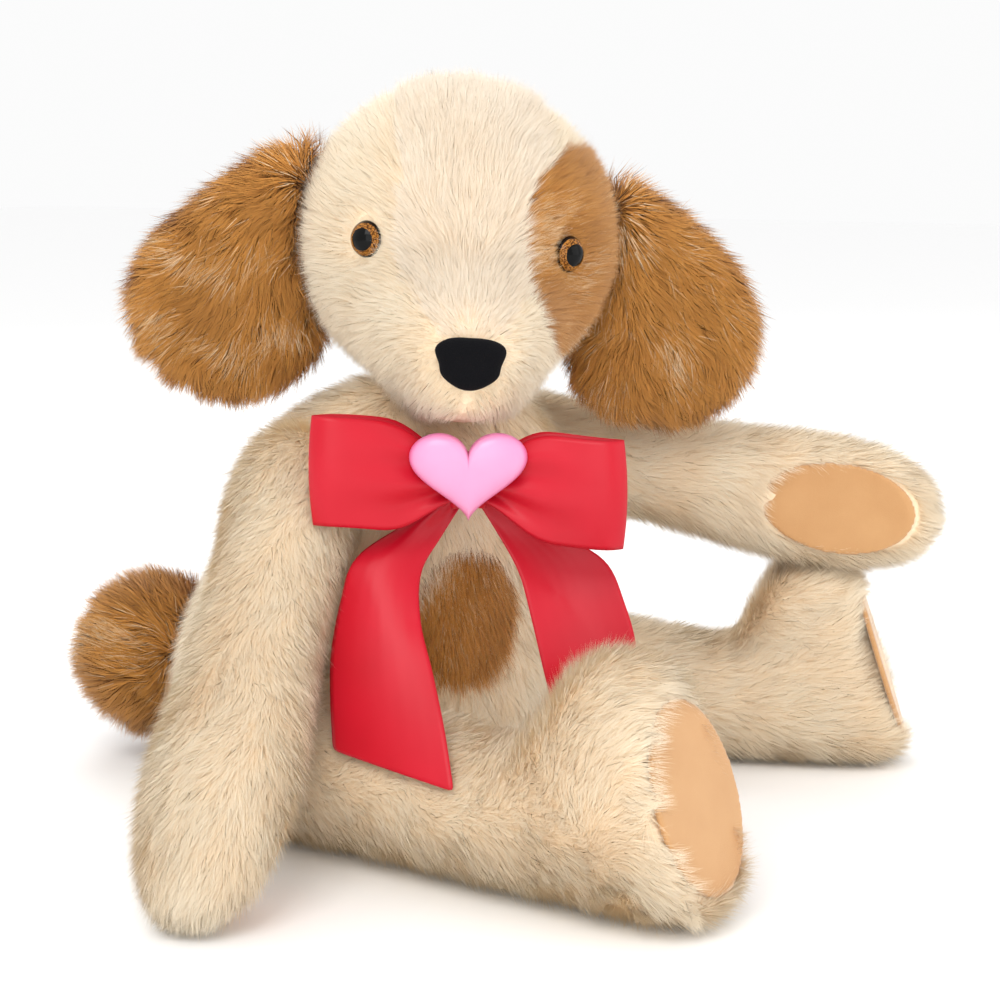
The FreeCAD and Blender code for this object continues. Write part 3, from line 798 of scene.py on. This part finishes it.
def face_comb(local):
    """The pile runs back from the nose, down the cheeks and away from the eyes and the mouth seam."""
    way = unit(local - NOSE) + np.array([0, 0.25, -0.25])
    low = np.clip((-local[:, 2] - 0.01) / 0.03, 0, 1)[:, None]
    way = way * (1 - 0.6 * low) + np.array([0, 0.2, -0.9]) * low
    for eye in EYES:
        away = local - eye
        near = np.clip(1 - np.linalg.norm(away, axis=1) / 0.014, 0, 1)[:, None]
        way = way * (1 - near) + unit(away) * near * 1.5
    chin = np.where((local[:, 2] < -0.034) & (local[:, 1] < -0.03), 1.0, 0.0)
    chin *= np.exp(-np.abs(local[:, 0]) / 0.006)
    way[:, 0] += np.sign(local[:, 0]) * chin * 1.2
    return unit(way)


def head_pile(name, count, seed, choose, base, material, slot_name, nodes, **named):
    """Pile on the chosen part of the head, clear of the nose's foot and of the neck joint."""
    roots, normals = scatter(head_skin, int(count * THIN), seed)
    local = to_head(roots)
    keep = choose(local) & (roots[:, 2] > 0.1535) & (np.linalg.norm(local - NOSE, axis=1) > 0.0055)
    keep &= ~((roots[:, 2] < 0.1625) & (np.hypot(roots[:, 0], roots[:, 1] + 0.025) < 0.036))
    local = local[keep]
    pile(name, "head", slot_name, nodes, roots[keep], normals[keep], from_head(face_comb(local)),
         face_lengths(local, base), material, seed + 1, barrier=dress_wall, **named)


head_pile("fur_head", 270000, 21, lambda spot: (gusset_edge(spot) < 0) & (eye_patch_share(spot) < 0),
          0.0092, cream, "cream_plush", [])
head_pile("fur_forehead", 420000, 23, lambda spot: (gusset_edge(spot) >= 0) & (eye_patch_share(spot) < 0),
          0.0105, pale, "pale_plush", ["head_gusset"], lie=0.25)
head_pile("fur_eye_patch", 600000, 25, lambda spot: eye_patch_share(spot) >= 0,
          0.0098, golden, "golden_plush", ["eye_patch"])


# ---- ears: two layers of the longer golden plush sewn round the rim, hanging from the seam beside the
# head; a little wadding rounds them and the free edge waves
for side, sign in (("left", 1), ("right", -1)):
    layers = ["ear_front_" + side, "ear_back_" + side]
    ear = stuffed("skin_ear_" + side, golden_back, layers, 0.0, voxel=0.0025, pressure=1.0, cap=0.001,
                  smooth=5)
    for vertex in ear.data.vertices:
        local = head_turn.transposed() @ (vertex.co - head_middle)
        out = max(0.0, abs(local.x) - 0.055)
        local.y += 0.004 * math.sin(out * 38) + 0.0022 * math.sin(local.z * 75 + sign)
        if side == "left":
            local.z -= 0.007 * ease((-0.01 - local.z) / 0.04)
        vertex.co = head_middle + head_turn @ local
    ear.data.update()
    body = "ear_" + side
    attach(ear, body)
    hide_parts(*layers)
    roots, normals = scatter(ear, int(62000 * THIN), 31 + sign)
    local = to_head(roots)
    centre = np.array([sign * 0.058, 0.004, 0.012])
    comb = unit(local - centre) + np.array([sign * 0.25, 0, -0.55])
    edge = np.interp(np.abs(local[:, 0]), [0.046, 0.062], [0.8, 1.0])
    pile("fur_ear_" + side, body, "golden_plush", [], roots, normals, from_head(unit(comb)), 0.0140 * edge,
         golden, 35 + sign, lift=0.85, lie=0.35, width=0.00034, mess=0.4, steps=2)


# ---- tail: a small stuffed ball with the longest golden pile, drawn in at a short root and sewn on
# under the back seam
tail = stuffed("skin_tail", golden_back, ["tail_stuffing"], GROWN, voxel=0.003, cap=0.001)
for vertex in tail.data.vertices:
    vertex.co.z -= 0.004 * ease((vertex.co.y - 0.084) / 0.015)
tail.data.update()
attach(tail, "tail")
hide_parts("tail_cover", "tail_stuffing")
roots, normals = scatter(tail, int(42000 * THIN), 41)
swirl = np.cross(normals, np.array([0.3, 0.2, 1.0])) + np.array([0, 0.6, -0.3])
pile("fur_tail", "tail", "golden_plush", [], roots, normals, unit(swirl), 0.0165, golden, 42, lift=1.0,
     lie=0.85, mess=0.7, width=0.0004, tuft=0.007, steps=2)


# ---- pads: tan brushed suede cloth, cut oval, crowned a little by the stuffing behind it and sewn in
# with a plain seam
suede = Finish("tan_suede", 0.82, Sheen_Weight=0.5, Sheen_Roughness=0.4)
brushed = suede.noise(suede.place(), 55, 4)
nap = suede.noise(suede.place(), 2600, 2, 0.7)
suede.colour(suede.mix(brushed * 0.7 + nap * 0.3, rgb(184, 134, 84), rgb(208, 162, 112)))
suede.bump(nap * 0.7 + brushed * 0.3, 0.00012)


def pad(name, node, body, swell):
    """Pad from its CAD outline, crowned a little and rounded at the seam."""
    piece = finished(name, copy_of(node), suede.material)
    recast(piece, 0.0007)
    grown(piece, 4, swell)
    piece.data.update()
    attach(piece, body)
    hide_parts(node)
    return piece


# ---- arms and legs: stuffed tubes that turn on discs in the body; the hands have suede palms, the feet
# are turned up and have suede soles. Each cover is drawn a little longer or shorter past a place along it
def pivot(name):
    return Vector(next(joint for joint in frame["joints"] if joint["name"] == name)["pos_m"])


ARM_WAYS = {"left": (0.40, -0.907, -0.125), "right": (-0.645, -0.245, -0.724)}
LEG_SPLAY = {"left": 25.0, "right": -2.0}
DRAWN_OUT = {"leg_right": (0.092, 0.03, 0.007, 0), "leg_left": (0.092, 0.03, -0.006, 0),
             "arm_left": (0.04, 0.08, 0.009, 0.003), "arm_right": (0, 1, 0, 0)}
LIMBS = []
for side in ("left", "right"):
    LIMBS.append(("arm", side, pivot("shoulder_" + side), Vector(ARM_WAYS[side])))
    splay = math.radians(LEG_SPLAY[side])
    LIMBS.append(("leg", side, pivot("hip_" + side), Vector((math.sin(splay), -math.cos(splay), 0))))
for number, (limb, side, start, way) in enumerate(LIMBS):
    way = np.array(way.normalized())
    body = limb + "_" + side
    skin = stuffed("skin_" + body, cream_back, [limb + "_stuffing_" + side], GROWN)
    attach(skin, body)
    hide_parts(limb + "_cover_" + side, limb + "_stuffing_" + side)
    pad_node = ("paw_pad_" if limb == "arm" else "foot_pad_") + side
    pad_piece = pad(("palm_" if limb == "arm" else "sole_") + side, pad_node, body, 0.0006)
    first, rise, longer, drop = DRAWN_OUT[body]
    for piece in (skin, pad_piece):
        for vertex in piece.data.vertices:
            far = ease(((vertex.co - start) @ Vector(way) - first) / rise)
            vertex.co += Vector(way) * longer * far
            vertex.co.z -= drop * far
        piece.data.update()
    count = 185000 if limb == "leg" else 135000
    roots, normals = scatter(skin, int(count * THIN), 51 + number)
    tree = BVHTree.FromPolygons([vertex.co[:] for vertex in pad_piece.data.vertices],
                                [face.vertices[:] for face in pad_piece.data.polygons])
    clear = np.array([tree.find_nearest(Vector(root))[3] > 0.0021 for root in roots])
    travel = (roots - np.array(start)) @ way
    comb = np.zeros_like(roots) + way
    if limb == "leg":
        foot = np.clip((travel - 0.100) / 0.04, 0, 1)[:, None]
        comb = comb * (1 - 0.35 * foot) + np.array([0, 0, 0.45]) * foot
        sole = travel > 0.157
        comb[sole] = normals[sole] + way * 0.2
    clear &= roots[:, 2] > 0.0011
    flat = near_limb(roots, (("shoulder_" if limb == "arm" else "hip_") + side,), 0.021)
    inner = (normals @ np.array([np.sign(start.x), 0, 0])) < -0.75
    lengths = np.where(flat & inner, 0.003, BODY_PILE)
    pile("fur_" + body, body, "cream_plush", [], roots[clear], normals[clear], comb[clear], lengths[clear],
         cream, 61 + number, barrier=None if body == "arm_left" else dress_wall)


# ---- eyes: domed safety eyes of glossy resin with a speckled amber iris and a black pupil, each held by
# a shank through the cover
for side, spot, reach in (("left", EYES[0], 0.0552), ("right", EYES[1], 0.0541)):
    way = Vector(from_head(spot / HEAD_REACH))
    pupil = head_middle + way * reach + way * 0.0036 + head_turn @ Vector((0, -0.0013, 0))
    glass = Finish("eye_" + side + "_resin", 0.05, Coat_Weight=0.1, Coat_Roughness=0.02,
                   Specular_IOR_Level=0.1)
    offset = glass.node("ShaderNodeVectorMath", {"operation": "DISTANCE"}, {0: glass.place(), 1: pupil})
    away = glass.wire(offset, "Value")
    speckle = glass.noise(glass.place(), 2300, 1, 0.6)
    iris = glass.mix(speckle > 0.5, rgb(70, 36, 12), rgb(176, 116, 48))
    ringed = glass.mix(away > 0.0064, iris, rgb(20, 12, 8))
    glass.colour(glass.mix(away < 0.0041, ringed, (0.002, 0.002, 0.002, 1)))
    eye = frame["nodes"]["eye_" + side]
    eye.data.materials.clear()
    eye.data.materials.append(glass.material)


# ---- nose: moulded block with rounded corners, wider at the top and flocked black, locked behind the
# cover of the muzzle
flock = Finish("black_flock", 0.95, Sheen_Weight=0.03, Sheen_Roughness=0.5, Specular_IOR_Level=0.05)
dust = flock.noise(flock.place(), 3000, 2, 0.8)
flock.colour(flock.mix(dust, (0.0015, 0.0015, 0.0018, 1), (0.009, 0.009, 0.011, 1)))
flock.bump(dust, 0.0002)
nose = finished("nose_block", copy_of("nose"), flock.material)
recast(nose, 0.0006)
bm = bmesh.new()
bm.from_mesh(nose.data)
soften(bm, 8)
for vertex in bm.verts:
    local = head_turn.transposed() @ (vertex.co + vertex.normal * 0.0005 - head_middle)
    local.x *= 1 + 0.2 * math.exp(-(((local.z + 0.0293) / 0.008 + 0.5) / 0.4) ** 2)
    vertex.co = head_middle + head_turn @ local
bm.to_mesh(nose.data)
bm.free()
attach(nose, "head")
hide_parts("nose")


# ---- joints inside the body: the limbs and the head turn on pressed board discs, each held by a nylon
# washer locked on its stem
board = Finish("pressed_board", 0.8)
chips = board.noise(board.place(), 700, 4)
board.colour(board.mix(chips, rgb(120, 92, 60), rgb(168, 136, 96)))
board.bump(chips, 0.0002)
nylon = Finish("nylon", 0.45)
cloud = nylon.noise(nylon.place(), 400, 2)
nylon.colour(nylon.mix(cloud, rgb(222, 220, 212), rgb(240, 239, 233)))
for name, node in frame["nodes"].items():
    finish = board if "_disc" in name else nylon if "washer" in name else None
    if finish:
        node.data.materials.clear()
        node.data.materials.append(finish.material)
